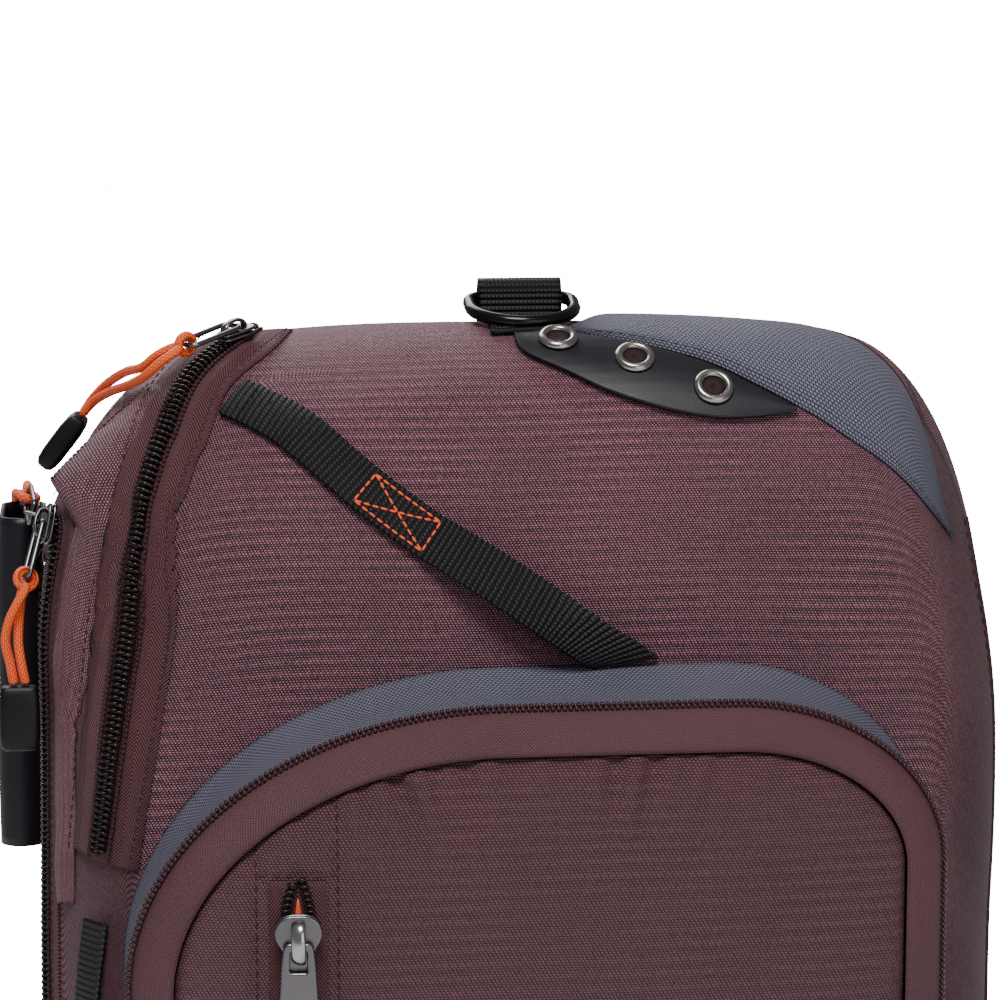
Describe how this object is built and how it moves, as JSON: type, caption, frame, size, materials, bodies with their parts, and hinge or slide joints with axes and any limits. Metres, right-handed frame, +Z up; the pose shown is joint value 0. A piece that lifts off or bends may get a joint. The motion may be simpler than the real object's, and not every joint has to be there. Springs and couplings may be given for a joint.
{
  "type": "fishing tackle backpack",
  "caption": "Soft backpack with a zipped main body, a domed front pocket, a webbing tool loop, a ring on top, corded zip pulls and padded shoulder straps.",
  "frame": {"origin": "middle of the body's base, on the surface that it stands on", "axes": "+Z up, front pocket faces -Y, the wearer's straps are on +Y, +X is to the right seen from the front"},
  "size_m": [0.2722, 0.2365, 0.407],
  "materials": {
    "brown_fabric": "woven dobby cloth",
    "grey_fabric": "coarse basket weave",
    "maroon_tape": "herringbone tape",
    "coil_plastic": "zip coil",
    "black_webbing": "ribbed webbing",
    "black_sheet": "satin coated sheet",
    "black_plastic": "moulded",
    "orange_cord": "braided",
    "gunmetal": "dark plated zinc",
    "nickel": "nickel plated",
    "black_mesh": "spacer mesh"
  },
  "bodies": {
    "pack": {"back_panel": "black_mesh", "base_panel": "brown_fabric", "d_ring_loop": "black_webbing", "d_ring_strap": "black_webbing", "eyelet_1": "nickel", "eyelet_2": "nickel", "eyelet_3": "nickel", "eyelet_tab": "black_sheet", "face_zip_coil": "coil_plastic", "face_zip_slider": "gunmetal", "face_zip_tape": "maroon_tape", "front_panel": "brown_fabric", "haul_handle": "black_webbing", "main_cord_a": "orange_cord", "main_cord_b": "orange_cord", "main_hitch": "orange_cord", "main_moulded_end": "black_plastic", "main_pull": "gunmetal", "main_slider": "gunmetal", "main_zip_coil": "coil_plastic", "main_zip_tape": "maroon_tape", "pocket_face": "brown_fabric", "pocket_trim": "grey_fabric", "pocket_zip_coil": "coil_plastic", "pocket_zip_tape": "maroon_tape", "rear_cord_a": "orange_cord", "rear_cord_b": "orange_cord", "rear_hitch": "orange_cord", "rear_moulded_end": "black_plastic", "rear_pull": "gunmetal", "rear_slider": "gunmetal", "shoulder_strap_left": "black_mesh", "shoulder_strap_right": "black_mesh", "side_cord_a": "orange_cord", "side_cord_b": "orange_cord", "side_gusset": "brown_fabric", "side_hitch": "orange_cord", "side_label_tab": "black_webbing", "side_moulded_end": "black_plastic", "side_pull": "gunmetal", "side_slider": "gunmetal", "side_zip_coil": "coil_plastic", "side_zip_tape": "maroon_tape", "strap_belt_left": "black_webbing", "strap_belt_right": "black_webbing", "strap_buckle_left": "black_plastic", "strap_buckle_right": "black_plastic", "tool_sheath": "black_sheet", "tool_webbing": "black_webbing", "yoke_panel": "grey_fabric"},
    "d_ring": {"d_ring": "black_plastic"},
    "face_pull": {"face_zip_pull": "gunmetal"}
  },
  "joints": [
    {"name": "ring_swing", "type": "hinge", "parent": "pack", "child": "d_ring", "pos_m": [0.0007, -0.0135, 0.4016], "axis": [-1, 0, 0], "range_deg": [0, 150]},
    {"name": "face_pull_swing", "type": "hinge", "parent": "pack", "child": "face_pull", "pos_m": [-0.067, -0.1172, 0.2505], "axis": [-0.9978, 0.0663, 0], "range_deg": [0, 150]}
  ]
}
